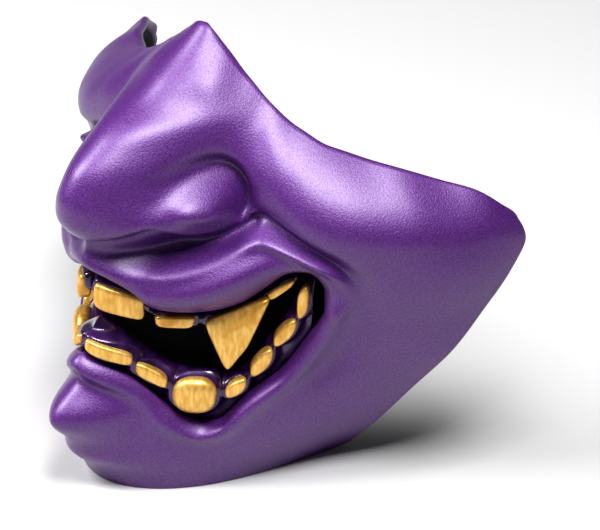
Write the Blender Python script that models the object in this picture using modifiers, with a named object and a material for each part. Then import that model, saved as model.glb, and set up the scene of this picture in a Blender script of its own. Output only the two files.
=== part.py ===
# Half face mask of a traditional grinning ogre: a hollow moulded shell with gum ridges and separate teeth.
# The mask stands on the flat rim under its chin, faces -Y, and is the same on both sides of X = 0.

import bmesh
import bpy
import numpy as np

# Overall sizes, in metres; the nose and the back corners stay a little inside the depth
WIDTH = 0.152
HEIGHT = 0.126
DEPTH = 0.104

# Walls, ridges and clearances, in metres
WALL = 0.003
RIM_WALL = 0.0018
THIN_WALL = 0.0012
GUM_DEPTH = 0.0065
TOOTH_DEPTH = 0.0040
TUSK_DEPTH = 0.0060
FANG_DEPTH = 0.0054
GAP = 0.0004
GUM_CLEARANCE = 0.0010
BACKING = 0.001
BACKING_GAP = 0.0010

# Heights below this share of HEIGHT stand on the floor
ON_FLOOR = 0.000001

# Mesh fineness
SPOKE_COUNT = 47
RING_COUNT = 21
GUM_STEPS = 15
TOOTH_SEGMENTS = 16
TOOTH_RINGS = 5

# Colours and finish: colour, roughness, metallic
FINISHES = {
    "purple_paint": ((0.16, 0.055, 0.32, 1.0), 0.36, 0.55),
    "gum_paint": ((0.07, 0.02, 0.15, 1.0), 0.22, 0.35),
    "gold_paint": ((0.72, 0.43, 0.12, 1.0), 0.34, 0.55),
    "black_cloth": ((0.006, 0.006, 0.008, 1.0), 0.85, 0.0),
}

# Places on the mask are given as an angle and a height. The angle is measured in degrees around an upright axis
# near the back of the mask, 0 at the front. Heights are shares of HEIGHT. Reaches, widths and rises are shares
# of half the width, and reach is how far the surface lies from that axis.
FRONT_REACH = 1.31
SIDE_REACH = 0.993
BACK_REACH = 0.062

# The plain form of the face, without nose, lips and rolled rim: reach at each angle, one row for each height
BODY_ANGLES = (0.0, 7.5, 15.0, 30.0, 45.0, 60.0, 75.0, 95.0)
BODY = (
    (0.00, 1.095, 1.060, 0.975, 0.770, 0.622, 0.555, 0.550, 0.560),
    (0.10, 1.165, 1.090, 0.990, 0.850, 0.738, 0.690, 0.685, 0.690),
    (0.21, 1.195, 1.088, 0.985, 0.875, 0.790, 0.770, 0.790, 0.805),
    (0.32, 1.165, 1.058, 0.970, 0.865, 0.810, 0.815, 0.875, 0.895),
    (0.43, 1.135, 1.040, 0.945, 0.845, 0.820, 0.855, 0.915, 0.955),
    (0.54, 1.115, 1.035, 0.930, 0.805, 0.825, 0.890, 0.955, 0.995),
    (0.65, 1.070, 0.990, 0.880, 0.770, 0.850, 0.892, 0.925, 1.000),
    (0.76, 0.870, 0.830, 0.765, 0.740, 0.812, 0.850, 0.885, 1.000),
    (0.88, 0.700, 0.668, 0.638, 0.630, 0.740, 0.832, 0.910, 1.000),
    (1.00, 0.570, 0.540, 0.510, 0.530, 0.670, 0.800, 0.900, 1.000),
)

# The rolled top rim: angle, height, reach at the edge, and how far down the roll goes
RIM = (
    (0.0, 1.000, 0.550, 0.06),
    (3.0, 0.9965, 0.547, 0.06),
    (6.0, 0.984, 0.543, 0.06),
    (9.0, 0.969, 0.541, 0.06),
    (12.0, 0.955, 0.541, 0.06),
    (15.4, 0.938, 0.544, 0.07),
    (19.3, 0.919, 0.552, 0.08),
    (23.3, 0.901, 0.561, 0.09),
    (27.2, 0.881, 0.571, 0.10),
    (32.4, 0.858, 0.586, 0.12),
    (38.1, 0.834, 0.602, 0.15),
    (43.2, 0.817, 0.619, 0.17),
    (47.3, 0.803, 0.636, 0.18),
    (53.4, 0.788, 0.650, 0.17),
    (61.9, 0.769, 0.688, 0.15),
    (69.3, 0.754, 0.735, 0.13),
    (75.2, 0.737, 0.772, 0.12),
    (80.2, 0.721, 0.816, 0.11),
    (87.0, 0.692, 0.896, 0.09),
    (95.0, 0.600, 0.992, 0.05),
)

# The nose: height, reach of its ridge, roundness of the ridge, half angle of its foot, hollow of its sides
NOSE = (
    (0.590, 1.130, 0.50, 29.0, 1.5),
    (0.627, 1.154, 0.45, 29.0, 1.5),
    (0.662, 1.196, 0.32, 29.0, 1.6),
    (0.696, 1.210, 0.26, 29.0, 1.8),
    (0.724, 1.208, 0.15, 29.0, 1.9),
    (0.751, 1.186, 0.13, 30.0, 2.0),
    (0.791, 1.128, 0.13, 30.0, 2.0),
    (0.815, 1.068, 0.14, 30.0, 1.9),
    (0.849, 0.967, 0.18, 30.0, 1.7),
    (0.869, 0.882, 0.22, 30.0, 1.6),
    (0.911, 0.763, 0.30, 30.0, 1.4),
    (0.934, 0.702, 0.40, 30.0, 1.3),
    (0.955, 0.650, 0.50, 30.0, 1.3),
    (1.000, 0.566, 0.60, 30.0, 1.3),
)
# Lower edge of the nose, over the nostril and under the wing: angle, height
NOSE_BASE = (
    (0.0, 0.616), (5.0, 0.618), (9.0, 0.638), (12.0, 0.650), (14.3, 0.642), (16.3, 0.624),
    (18.8, 0.614), (22.0, 0.616), (25.4, 0.634), (28.5, 0.656),
)
NOSE_BASE_BAND = 0.017
# Inside, the step at the lower edge of the nose lies higher and is softer, and the nose has no grooves
INNER_BASE_LIFT = 0.018
INNER_BASE_BAND = 0.070

# Inside, the rolled rim is as flat across the middle as it is at this angle
INNER_RIM_ANGLE = 3.5
# The wall thins towards the top rim within this height
RIM_TAPER = 0.04
# The top rim ends at this height, and the side edge takes over from it within this much more
RIM_END = 0.62
RIM_END_BAND = 0.07

# The path of a ridge is read in this many pieces a stretch, and the pieces are blended by nearness: how soft the
# blend is at the path, and how strongly the nearest piece pulls
PATH_STEPS = 6
PATH_BLEND = 0.01
PATH_PULL = 4
# The grid between the mouth and the outer edge: points read along an edge, every how many of them the mouth's
# outline takes, and how the rings crowd towards the mouth
EDGE_SAMPLES = 601
MOUTH_STEP = 6
RING_CROWDING = 1.35
# Steps, in degrees and in height, that find which way the surface faces
NORMAL_TURN = 0.4
NORMAL_RAISE = 0.004

# Spokes run from the edge of the mouth to the outer edge: mouth angle, mouth height, edge angle, edge height
SPOKES = (
    (0.0, 0.535, 0.0, 1.000),
    (4.5, 0.520, 6.0, 0.978),
    (8.5, 0.495, 15.2, 0.934),
    (11.5, 0.455, 24.9, 0.891),
    (16.5, 0.445, 29.2, 0.874),
    (21.5, 0.447, 34.6, 0.854),
    (27.5, 0.462, 41.0, 0.826),
    (34.0, 0.503, 47.3, 0.804),
    (39.5, 0.540, 57.0, 0.780),
    (43.8, 0.547, 69.3, 0.754),
    (46.8, 0.527, 80.2, 0.721),
    (48.1, 0.495, 87.0, 0.692),
    (48.1, 0.455, 92.5, 0.635),
    (46.6, 0.418, 93.5, 0.594),
    (43.6, 0.370, 89.7, 0.520),
    (40.3, 0.324, 82.5, 0.390),
    (37.0, 0.288, 75.0, 0.275),
    (34.0, 0.268, 70.0, 0.195),
    (30.9, 0.246, 65.5, 0.130),
    (28.4, 0.221, 60.5, 0.060),
    (26.1, 0.194, 57.5, 0.010),
    (24.2, 0.174, 50.0, 0.000),
    (21.2, 0.166, 41.0, 0.000),
    (18.3, 0.172, 32.0, 0.000),
    (14.0, 0.209, 22.5, 0.000),
    (10.0, 0.258, 15.0, 0.000),
    (5.5, 0.300, 8.0, 0.000),
    (0.0, 0.335, 0.0, 0.000),
)

# Ridges (rise above 0) and grooves (below 0), as paths of angle, height, half width and rise
MAP_REACH = 0.85
FORMS = {
    "chin": ((0.0, 0.195, 0.115, 0.105), (5.0, 0.190, 0.115, 0.064), (9.0, 0.180, 0.110, 0.020)),
    "chin_under": ((0.0, 0.090, 0.060, 0.035), (6.0, 0.085, 0.060, 0.030), (14.0, 0.075, 0.060, 0.010)),
    "under_lip": ((0.0, 0.270, 0.048, -0.038), (8.0, 0.232, 0.048, -0.032), (14.0, 0.182, 0.048, -0.004)),
    "lower_lip": (
        (0.0, 0.320, 0.035, 0.030), (5.5, 0.285, 0.035, 0.030), (10.0, 0.243, 0.035, 0.030),
        (14.0, 0.193, 0.035, 0.030), (18.0, 0.154, 0.035, 0.030), (21.5, 0.146, 0.035, 0.030),
        (25.0, 0.163, 0.038, 0.032), (28.9, 0.202, 0.040, 0.033), (33.5, 0.243, 0.042, 0.034),
        (38.9, 0.285, 0.045, 0.034), (43.4, 0.338, 0.047, 0.034), (46.8, 0.388, 0.047, 0.033),
        (49.3, 0.445, 0.048, 0.030),
    ),
    "upper_lip": (
        (0.0, 0.555, 0.050, 0.020), (5.0, 0.545, 0.055, 0.030), (10.5, 0.505, 0.080, 0.062),
        (16.5, 0.505, 0.100, 0.105), (22.0, 0.522, 0.105, 0.120), (27.0, 0.545, 0.105, 0.118),
        (31.5, 0.562, 0.095, 0.096), (36.0, 0.567, 0.080, 0.060), (42.0, 0.560, 0.058, 0.026),
        (48.5, 0.528, 0.052, 0.014), (51.0, 0.470, 0.052, 0.020),
    ),
    "lip_crest": (
        (6.0, 0.560, 0.025, 0.010), (10.2, 0.543, 0.028, 0.020), (16.4, 0.555, 0.028, 0.030),
        (21.0, 0.572, 0.028, 0.030), (26.0, 0.596, 0.027, 0.030), (31.2, 0.617, 0.025, 0.032),
        (35.0, 0.618, 0.022, 0.036), (40.3, 0.602, 0.020, 0.038), (46.5, 0.577, 0.020, 0.034),
        (50.2, 0.557, 0.021, 0.026), (53.0, 0.531, 0.024, 0.016), (54.8, 0.495, 0.026, 0.005),
    ),
    "cheek_fold": (
        (29.5, 0.652, 0.040, -0.020), (33.0, 0.650, 0.034, -0.044), (40.3, 0.623, 0.034, -0.048),
        (46.5, 0.597, 0.034, -0.040), (52.0, 0.566, 0.040, -0.028), (56.5, 0.505, 0.055, -0.020),
        (57.0, 0.440, 0.060, -0.022), (55.5, 0.395, 0.060, -0.025), (53.0, 0.330, 0.060, -0.025),
        (47.0, 0.282, 0.055, -0.018), (42.5, 0.250, 0.050, -0.005),
    ),
    "under_nose": (
        (3.0, 0.578, 0.040, -0.030), (8.0, 0.580, 0.050, -0.070), (13.0, 0.590, 0.055, -0.085),
        (18.0, 0.592, 0.045, -0.070), (24.0, 0.608, 0.040, -0.060), (29.0, 0.636, 0.035, -0.050),
    ),
    "cheekbone": ((38.0, 0.735, 0.150, 0.015), (50.0, 0.715, 0.160, 0.025), (66.0, 0.690, 0.160, 0.020)),
}
# Forms that belong to the nose and end at its lower edge
NOSE_FORMS = {
    "lower_band": ((4.0, 0.645, 0.060, 0.010), (10.0, 0.652, 0.068, 0.034), (16.0, 0.652, 0.068, 0.034)),
    "wing": ((15.0, 0.686, 0.052, 0.030), (18.0, 0.692, 0.058, 0.072), (21.2, 0.684, 0.058, 0.080)),
    "wing_groove": (
        (10.5, 0.732, 0.042, 0.000), (13.2, 0.748, 0.045, -0.045), (16.2, 0.756, 0.048, -0.080),
        (19.7, 0.750, 0.048, -0.090), (23.6, 0.728, 0.046, -0.090), (26.0, 0.694, 0.042, -0.085),
        (26.4, 0.655, 0.038, -0.050),
    ),
}

# The roundness of the lips at the mouth: how wide the turn is, and how far it turns inwards
LIP_TURN = 0.055
LIP_DROP = 0.042

# Section of a gum ridge: share of its depth, and side of its middle
GUM_SECTION = (
    (0.0, -0.75), (0.0, 0.0), (0.0, 0.75), (0.25, 1.0), (0.75, 1.0), (1.0, 0.7), (1.0, -0.7), (0.75, -1.0),
    (0.25, -1.0),
)
# Section of a flat sheet: share of its thickness, and side of its middle
SHEET_SECTION = tuple((0.0, -1.0 + k / 2) for k in range(5)) + tuple((1.0, 1.0 - k / 2) for k in range(5))
# Gum ridges: angle, height of the lower edge, height of the upper edge
UPPER_GUM = (
    (0.0, 0.470, 0.550), (6.0, 0.460, 0.530), (12.0, 0.410, 0.490), (18.0, 0.395, 0.480), (26.0, 0.420, 0.500),
    (34.0, 0.468, 0.545), (37.5, 0.485, 0.560), (41.0, 0.510, 0.575),
)
LOWER_GUM = (
    (0.0, 0.290, 0.415), (5.0, 0.256, 0.380), (11.0, 0.200, 0.315), (17.0, 0.126, 0.292), (22.0, 0.115, 0.292),
    (27.0, 0.150, 0.288), (33.0, 0.190, 0.352), (38.0, 0.215, 0.422), (42.0, 0.250, 0.490), (45.0, 0.290, 0.540),
)
# The black sheet behind the teeth: angle, height of the lower edge, height of the upper edge
MOUTH_BACKING = (
    (0.0, 0.235, 0.600), (11.0, 0.170, 0.540), (19.0, 0.105, 0.530), (27.0, 0.130, 0.545), (38.0, 0.200, 0.600),
    (46.0, 0.290, 0.620), (53.0, 0.335, 0.620), (64.0, 0.370, 0.600),
)

# Teeth: angle and height of the middle, half width in degrees, half height, squareness, taper, lean, depth
UPPER_TEETH = {
    "incisor": (5.6, 0.466, 3.9, 0.030, 5.0, 0.0, -0.018, TOOTH_DEPTH),
    "lateral": (14.8, 0.420, 3.8, 0.015, 4.0, 0.1, 0.0, TOOTH_DEPTH),
    "fang": (27.6, 0.396, 7.7, 0.060, 8.0, 0.72, 0.030, FANG_DEPTH),
    "rear": (37.3, 0.499, 3.6, 0.011, 3.0, 0.2, 0.020, TOOTH_DEPTH),
}
LOWER_TEETH = {
    "incisor": (4.4, 0.344, 3.6, 0.016, 4.0, 0.0, -0.019, TOOTH_DEPTH),
    "second": (11.2, 0.290, 2.7, 0.017, 3.5, 0.0, -0.018, TOOTH_DEPTH),
    "tusk": (19.2, 0.246, 4.3, 0.043, 2.4, 0.0, 0.0, TUSK_DEPTH),
    "cheek_a": (27.5, 0.263, 2.3, 0.019, 2.4, 0.0, 0.012, TOOTH_DEPTH),
    "cheek_b": (33.1, 0.324, 2.6, 0.024, 2.4, 0.0, 0.020, TOOTH_DEPTH),
    "cheek_c": (38.5, 0.396, 2.8, 0.022, 2.4, 0.0, 0.022, TOOTH_DEPTH),
    "cheek_d": (42.7, 0.472, 1.5, 0.036, 2.6, 0.0, 0.012, TOOTH_DEPTH),
}


def tangents(x, y, tight):
    """Slopes at the points of a smooth curve: a tight curve never swings past its points."""
    step = np.diff(x)
    slope = np.diff(y, axis=-1) / step
    result = np.zeros_like(y)
    result[..., 0] = slope[..., 0]
    result[..., -1] = slope[..., -1]
    before, after = slope[..., :-1], slope[..., 1:]
    if tight:
        product = before * after
        total = np.where(product > 0.0, before + after, 1.0)
        result[..., 1:-1] = np.where(product > 0.0, 2.0 * product / total, 0.0)
        return result
    count = len(x)
    system = np.zeros((count, count))
    right = np.zeros_like(y)
    system[0, :2] = (2.0, 1.0)
    system[-1, -2:] = (1.0, 2.0)
    right[..., 0] = 3.0 * slope[..., 0]
    right[..., -1] = 3.0 * slope[..., -1]
    for k in range(1, count - 1):
        system[k, k - 1 : k + 2] = (step[k], 2.0 * (step[k - 1] + step[k]), step[k - 1])
        right[..., k] = 3.0 * (step[k] * slope[..., k - 1] + step[k - 1] * slope[..., k])
    return right @ np.linalg.inv(system).T


def through(x, y, at, tight=False):
    """Curve through the points x, y, read at the given places; y may have a row for each place."""
    x = np.asarray(x, float)
    y = np.asarray(y, float)
    at = np.clip(at, x[0], x[-1])
    slopes = tangents(x, y, tight)
    index = np.clip(np.searchsorted(x, at, side="right") - 1, 0, len(x) - 2)

    def pick(values, k):
        if values.ndim == 1:
            return values[k]
        return np.take_along_axis(values, k[..., None], axis=-1)[..., 0]

    width = x[index + 1] - x[index]
    t = (at - x[index]) / width
    return (
        pick(y, index) * (2 * t**3 - 3 * t**2 + 1)
        + pick(slopes, index) * width * (t**3 - 2 * t**2 + t)
        + pick(y, index + 1) * (3 * t**2 - 2 * t**3)
        + pick(slopes, index + 1) * width * (t**3 - t**2)
    )


def columns(table, at, tight=False):
    """The columns of a table after its first, each read as a smooth curve over the first."""
    table = np.asarray(table, float)
    return [through(table[:, 0], column, at, tight) for column in table.T[1:]]


def smoothstep(t):
    t = np.clip(t, 0.0, 1.0)
    return t * t * (3.0 - 2.0 * t)


def body_reach(angle, height):
    """Reach of the plain face form at each angle and height."""
    section = np.stack(columns(BODY, height), axis=-1)
    both_sides = np.concatenate([section[..., :0:-1], section], axis=-1)
    angles = np.concatenate([-np.array(BODY_ANGLES[:0:-1]), BODY_ANGLES])
    return through(angles, both_sides, angle)


def on_map(angle, height):
    """Flat map of the face, in half widths: how far round, and how high."""
    return np.stack([np.radians(angle) * MAP_REACH, height * HEIGHT / (WIDTH / 2)], axis=-1)


def form_rise(rows, angle, height):
    """Rise of one ridge or groove, which fades to both sides of its path."""
    rows = np.asarray(rows, float)
    places = on_map(angle, height)
    total = np.zeros(angle.shape)
    weights = np.zeros(angle.shape)
    stations = np.linspace(0.0, len(rows) - 1.0, PATH_STEPS * len(rows))
    fine = np.stack(columns(np.column_stack([np.arange(len(rows)), rows]), stations), axis=-1)
    nodes = on_map(fine[:, 0], fine[:, 1])
    for start, end, a, b in zip(nodes[:-1], nodes[1:], fine[:-1], fine[1:]):
        run = end - start
        t = np.clip(((places - start) @ run) / (run @ run), 0.0, 1.0)
        away = np.linalg.norm(places - start - t[..., None] * run, axis=-1)
        half_width = a[2] + t * (b[2] - a[2])
        here = (a[3] + t * (b[3] - a[3])) * np.exp(-((away / half_width) ** 2))
        weight = ((away / half_width) ** 2 + PATH_BLEND) ** -PATH_PULL
        total = total + weight * here
        weights = weights + weight
    return total / weights


def nose_reach(angle, height, body, inside):
    """Reach with the nose on top of the plain form: a rounded ridge, wings and grooves over a sharp base."""
    ridge, roundness, foot, hollow = columns(NOSE, height)
    middle = body_reach(np.zeros(angle.shape), height)
    share = np.abs(angle) / foot
    fall = 1.0 - (np.hypot(share, roundness) - roundness) / (np.hypot(1.0, roundness) - roundness)
    rise = (ridge - middle) * np.clip(fall, 0.0, 1.0) ** hollow
    base = columns(NOSE_BASE, np.abs(angle))[0]
    if inside:
        return body + rise * smoothstep((height - base - INNER_BASE_LIFT) / INNER_BASE_BAND)
    rise = rise + relief(angle, height, NOSE_FORMS)
    return body + rise * smoothstep((height - base) / NOSE_BASE_BAND)


def rim_roll(angle, height, reach_at_rim, inside):
    """Turn of the surface towards the top rim."""
    top, edge, length = columns(RIM, np.abs(angle))
    if inside:
        edge = columns(RIM, np.maximum(np.abs(angle), INNER_RIM_ANGLE))[1]
    below = np.clip(1.0 - (top - height) / length, 0.0, 1.0)
    return (edge - reach_at_rim) * below**2


def broad_reach(angle, height, inside=False):
    """Reach of the broad forms: face, nose and rolled rim, without lips and folds."""
    angle = np.asarray(angle, float)
    height = np.asarray(height, float)
    plain = nose_reach(angle, height, body_reach(angle, height), inside)
    top = columns(RIM, np.abs(angle))[0]
    at_rim = nose_reach(angle, top, body_reach(angle, top), inside)
    return plain + rim_roll(angle, height, at_rim, inside)


def relief(angle, height, forms):
    """Sum of ridges and grooves, mirrored about the middle."""
    total = np.zeros(angle.shape)
    for rows in forms.values():
        total = total + form_rise(rows, np.abs(angle), height)
    return total


def place(angle, height, reach):
    """World position of places on the mask."""
    turn = np.radians(angle)
    forward = reach * np.cos(turn)
    return np.stack(
        [
            WIDTH / 2 * reach * np.sin(turn) / SIDE_REACH,
            DEPTH * (0.5 - (forward + BACK_REACH) / (FRONT_REACH + BACK_REACH)),
            HEIGHT * height,
        ],
        axis=-1,
    )


def spoke_grid(spokes, rings):
    """Angles and heights of the grid between the mouth and the outer edge, evenly spaced along the edges."""
    table = np.column_stack([np.linspace(0.0, 1.0, len(SPOKES)), np.asarray(SPOKES, float)])
    fine = np.stack(columns(table, np.linspace(0.0, 1.0, EDGE_SAMPLES), tight=True), axis=-1)
    mouth = on_map(fine[:, 0], fine[:, 1])
    edge = on_map(fine[:, 2], fine[:, 3])
    run = np.linalg.norm(np.diff(mouth, axis=0), axis=1) + np.linalg.norm(np.diff(edge, axis=0), axis=1)
    length = np.concatenate([[0.0], np.cumsum(run)])
    chosen = np.interp(np.linspace(0.0, length[-1], spokes), length, np.linspace(0.0, 1.0, EDGE_SAMPLES))
    rows = np.stack(columns(table, chosen, tight=True), axis=-1)
    on_rim = smoothstep((rows[:, 3] - RIM_END) / RIM_END_BAND)
    rows[:, 3] += on_rim * (columns(RIM, rows[:, 2])[0] - rows[:, 3])
    share = np.linspace(0.0, 1.0, rings)[None, :] ** RING_CROWDING
    angle = rows[:, 0:1] * (1 - share) + rows[:, 2:3] * share
    height = rows[:, 1:2] * (1 - share) + rows[:, 3:4] * share
    return angle, height, mouth


def lip_turn(angle, height, mouth):
    """Inward turn of the lips at the edge of the mouth."""
    places = on_map(angle, height)
    away = np.full(angle.shape, np.inf)
    for start, end in zip(mouth[:-1:MOUTH_STEP], mouth[MOUTH_STEP::MOUTH_STEP]):
        run = end - start
        t = np.clip(((places - start) @ run) / (run @ run), 0.0, 1.0)
        away = np.minimum(away, np.linalg.norm(places - start - t[..., None] * run, axis=-1))
    near = np.clip(1.0 - away / LIP_TURN, 0.0, 1.0)
    return -LIP_DROP * (1.0 - np.sqrt(1.0 - near**2))


def beneath(angle, height, depth):
    """World position at a depth under the inner form, square to it."""

    def at(turned, raised):
        return place(angle + turned, height + raised, broad_reach(angle + turned, height + raised, inside=True))

    across = at(NORMAL_TURN, 0.0) - at(-NORMAL_TURN, 0.0)
    upward = at(0.0, NORMAL_RAISE) - at(0.0, -NORMAL_RAISE)
    inward = np.cross(upward, across)
    inward = inward / np.linalg.norm(inward, axis=-1, keepdims=True)
    return at(0.0, 0.0) + np.asarray(depth)[..., None] * inward


def wall_depth(angle, height, outer_reach):
    """Depth of the inner skin under the inner form: a full wall, thinner at the top rim and behind grooves."""
    below_rim = (columns(RIM, np.abs(angle))[0] - height) / RIM_TAPER
    wall = RIM_WALL + (WALL - RIM_WALL) * smoothstep(below_rim)
    sunk = (broad_reach(angle, height, inside=True) - outer_reach) * WIDTH / 2
    depth = np.maximum(wall, THIN_WALL + sunk)
    # the largest depth nearby, so that facets keep their wall
    padded = np.pad(depth, 1, mode="edge")
    rows, rings = depth.shape
    shifted = [padded[i : i + rows, j : j + rings] for i in range(3) for j in range(3)]
    return np.max(shifted, axis=0)


def material(name):
    colour, roughness, metallic = FINISHES[name]
    made = bpy.data.materials.new(name)
    made.use_nodes = True
    shader = made.node_tree.nodes["Principled BSDF"]
    shader.inputs["Base Color"].default_value = colour
    shader.inputs["Roughness"].default_value = roughness
    shader.inputs["Metallic"].default_value = metallic
    made.diffuse_color = colour
    return made


def add_object(name, mesh, finish):
    made = bpy.data.objects.new(name, mesh)
    made.data.materials.append(finish)
    mesh.shade_smooth()
    collection.objects.link(made)
    return made


def mask_shell(finish):
    """Half of the shell as a loft from the mouth to the outer edge, mirrored."""
    angle, height, mouth = spoke_grid(SPOKE_COUNT, RING_COUNT)
    outer_reach = broad_reach(angle, height) + relief(angle, height, FORMS) + lip_turn(angle, height, mouth)
    outer = place(angle, height, outer_reach)
    inner = beneath(angle, height, wall_depth(angle, height, outer_reach))
    inner[..., 2] = np.where(height < ON_FLOOR, 0.0, inner[..., 2])
    for skin in (outer, inner):
        skin[0, :, 0] = 0.0
        skin[-1, :, 0] = 0.0
    mesh = bmesh.new()
    rows = []
    for skin in (outer, inner):
        rows.append([[mesh.verts.new(corner) for corner in spoke] for spoke in skin])
    front, back = rows
    for i in range(SPOKE_COUNT - 1):
        for j in range(RING_COUNT - 1):
            mesh.faces.new((front[i][j], front[i + 1][j], front[i + 1][j + 1], front[i][j + 1]))
            mesh.faces.new((back[i][j], back[i][j + 1], back[i + 1][j + 1], back[i + 1][j]))
        mesh.faces.new((front[i][0], back[i][0], back[i + 1][0], front[i + 1][0]))
        last = RING_COUNT - 1
        mesh.faces.new((front[i + 1][last], back[i + 1][last], back[i][last], front[i][last]))
    data = bpy.data.meshes.new("mask_shell")
    bmesh.ops.triangulate(mesh, faces=mesh.faces)
    mesh.to_mesh(data)
    mesh.free()
    shell = add_object("mask_shell", data, finish)
    mirror = shell.modifiers.new("other half", "MIRROR")
    mirror.merge_threshold = 0.00005
    return shell


def swept(name, table, section, start, thickness, finish):
    """A closed bar swept round the mouth, from a start behind the face of the gums towards the upright axis."""
    last = table[-1][0]
    angles = np.linspace(-last, last, GUM_STEPS * 2 + 1)
    turn = np.radians(angles)
    to_axis = np.stack([-np.sin(turn), np.cos(turn), np.zeros(turn.shape)], axis=-1)
    low, high = columns(table, np.abs(angles))
    middle = (low + high) / 2
    half = (high - low) / 2
    mesh = bmesh.new()
    rings = []
    for inset, lift in section:
        face = beneath(angles, middle + lift * half, np.full(angles.shape, WALL + GUM_CLEARANCE))
        corners = face + (start + inset * thickness) * to_axis
        rings.append([mesh.verts.new(corner) for corner in corners])
    for ring, following in zip(rings, rings[1:] + rings[:1]):
        for i in range(len(angles) - 1):
            mesh.faces.new((ring[i], ring[i + 1], following[i + 1], following[i]))
    mesh.faces.new([ring[0] for ring in rings])
    mesh.faces.new([ring[-1] for ring in rings])
    bmesh.ops.recalc_face_normals(mesh, faces=mesh.faces)
    bmesh.ops.triangulate(mesh, faces=mesh.faces)
    data = bpy.data.meshes.new(name)
    mesh.to_mesh(data)
    mesh.free()
    return add_object(name, data, finish)


def tooth(name, row, side, finish):
    """A tooth: a round primitive pressed into the tooth's outline, standing on the face of the gum."""
    middle_angle, middle_height, half_angle, half_height, square, taper, lean, depth = row
    mesh = bmesh.new()
    bmesh.ops.create_uvsphere(mesh, u_segments=TOOTH_SEGMENTS, v_segments=TOOTH_RINGS, radius=1.0)
    across, upward, outward = np.array([vertex.co for vertex in mesh.verts]).T
    spread = np.hypot(across, upward)
    turn = np.arctan2(upward, across)
    to_outline = (np.abs(np.cos(turn)) ** square + np.abs(np.sin(turn)) ** square) ** (-1.0 / square)
    u = spread * to_outline * np.cos(turn)
    v = spread * to_outline * np.sin(turn)
    angle = middle_angle + half_angle * u * (1.0 - taper * (1.0 - v) / 2)
    height = middle_height + half_height * v + lean * u
    back = WALL + GUM_CLEARANCE - GAP
    corners = beneath(side * angle, height, back - (outward + 1.0) / 2 * depth)
    for vertex, corner in zip(mesh.verts, corners):
        vertex.co = corner
    if side < 0.0:
        bmesh.ops.reverse_faces(mesh, faces=mesh.faces)
    data = bpy.data.meshes.new(name)
    mesh.to_mesh(data)
    mesh.free()
    return add_object(name, data, finish)


for old in list(bpy.data.objects):
    bpy.data.objects.remove(old)

collection = bpy.data.collections.new("half_face_mask")
bpy.context.scene.collection.children.link(collection)
purple = material("purple_paint")
gum_purple = material("gum_paint")
gold = material("gold_paint")
black = material("black_cloth")

mask_shell(purple)
swept("upper_gum", UPPER_GUM, GUM_SECTION, 0.0, GUM_DEPTH, gum_purple)
swept("lower_gum", LOWER_GUM, GUM_SECTION, 0.0, GUM_DEPTH, gum_purple)
swept("mouth_backing", MOUTH_BACKING, SHEET_SECTION, GUM_DEPTH + BACKING_GAP, BACKING, black)
for side_name, side in (("right", 1.0), ("left", -1.0)):
    for tooth_name, tooth_row in UPPER_TEETH.items():
        tooth(f"upper_{tooth_name}_{side_name}", tooth_row, side, gold)
    for tooth_name, tooth_row in LOWER_TEETH.items():
        tooth(f"lower_{tooth_name}_{side_name}", tooth_row, side, gold)
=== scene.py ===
# Half face mask of a grinning ogre, dressed for its picture: painted shell, gums, teeth and black backing.
from math import cos, radians, sin

import bpy
import numpy as np
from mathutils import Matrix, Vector


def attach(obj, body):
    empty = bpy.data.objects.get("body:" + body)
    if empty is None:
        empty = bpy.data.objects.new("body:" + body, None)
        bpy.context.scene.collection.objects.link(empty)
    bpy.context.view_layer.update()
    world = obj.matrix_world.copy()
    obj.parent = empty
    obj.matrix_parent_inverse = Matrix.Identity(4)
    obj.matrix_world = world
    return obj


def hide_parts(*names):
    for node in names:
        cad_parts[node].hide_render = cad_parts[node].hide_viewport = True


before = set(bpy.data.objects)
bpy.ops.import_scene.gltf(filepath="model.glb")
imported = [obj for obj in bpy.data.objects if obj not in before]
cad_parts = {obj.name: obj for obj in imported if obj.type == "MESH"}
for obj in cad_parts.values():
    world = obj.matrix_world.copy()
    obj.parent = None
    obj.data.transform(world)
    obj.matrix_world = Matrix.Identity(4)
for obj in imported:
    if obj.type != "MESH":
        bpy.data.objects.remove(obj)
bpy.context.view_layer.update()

# The shell: one thin cast wall from the bridge of the nose to the chin, hollow behind, with lips, folds and
# wings of the nose modelled in. It is sprayed with pearl purple paint outside and coloured near black
# inside.

# Metres: the whole mask, and the wall in full, at the top rim and behind a groove
WIDTH = 0.152
HEIGHT = 0.126
DEPTH = 0.104
WALL = 0.003
RIM_WALL = 0.0018
THIN_WALL = 0.0012
# The grid of one half: spokes from the mouth outwards, rings round the mouth, and steps over the wall's edge
SHELL_SPOKES = 201
SHELL_RINGS = 100
RIM_STEPS = 4
# How far the rounded edge stands out, in half walls
RIM_BULGE = 0.35
# Heights under this count as on the floor
ON_FLOOR = 0.000001
# Rings over which the purple paint that wraps round the edge fades into the near-black inside
WRAP_RINGS = 2

# Places on the mask are given as an angle and a height. The angle is measured in degrees around an upright
# axis near the back of the mask, 0 at the front. Heights are shares of HEIGHT. Reaches, widths and rises are
# shares of half the width, and reach is how far the surface lies from that axis.
FRONT_REACH = 1.31
SIDE_REACH = 0.993
BACK_REACH = 0.062

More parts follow.
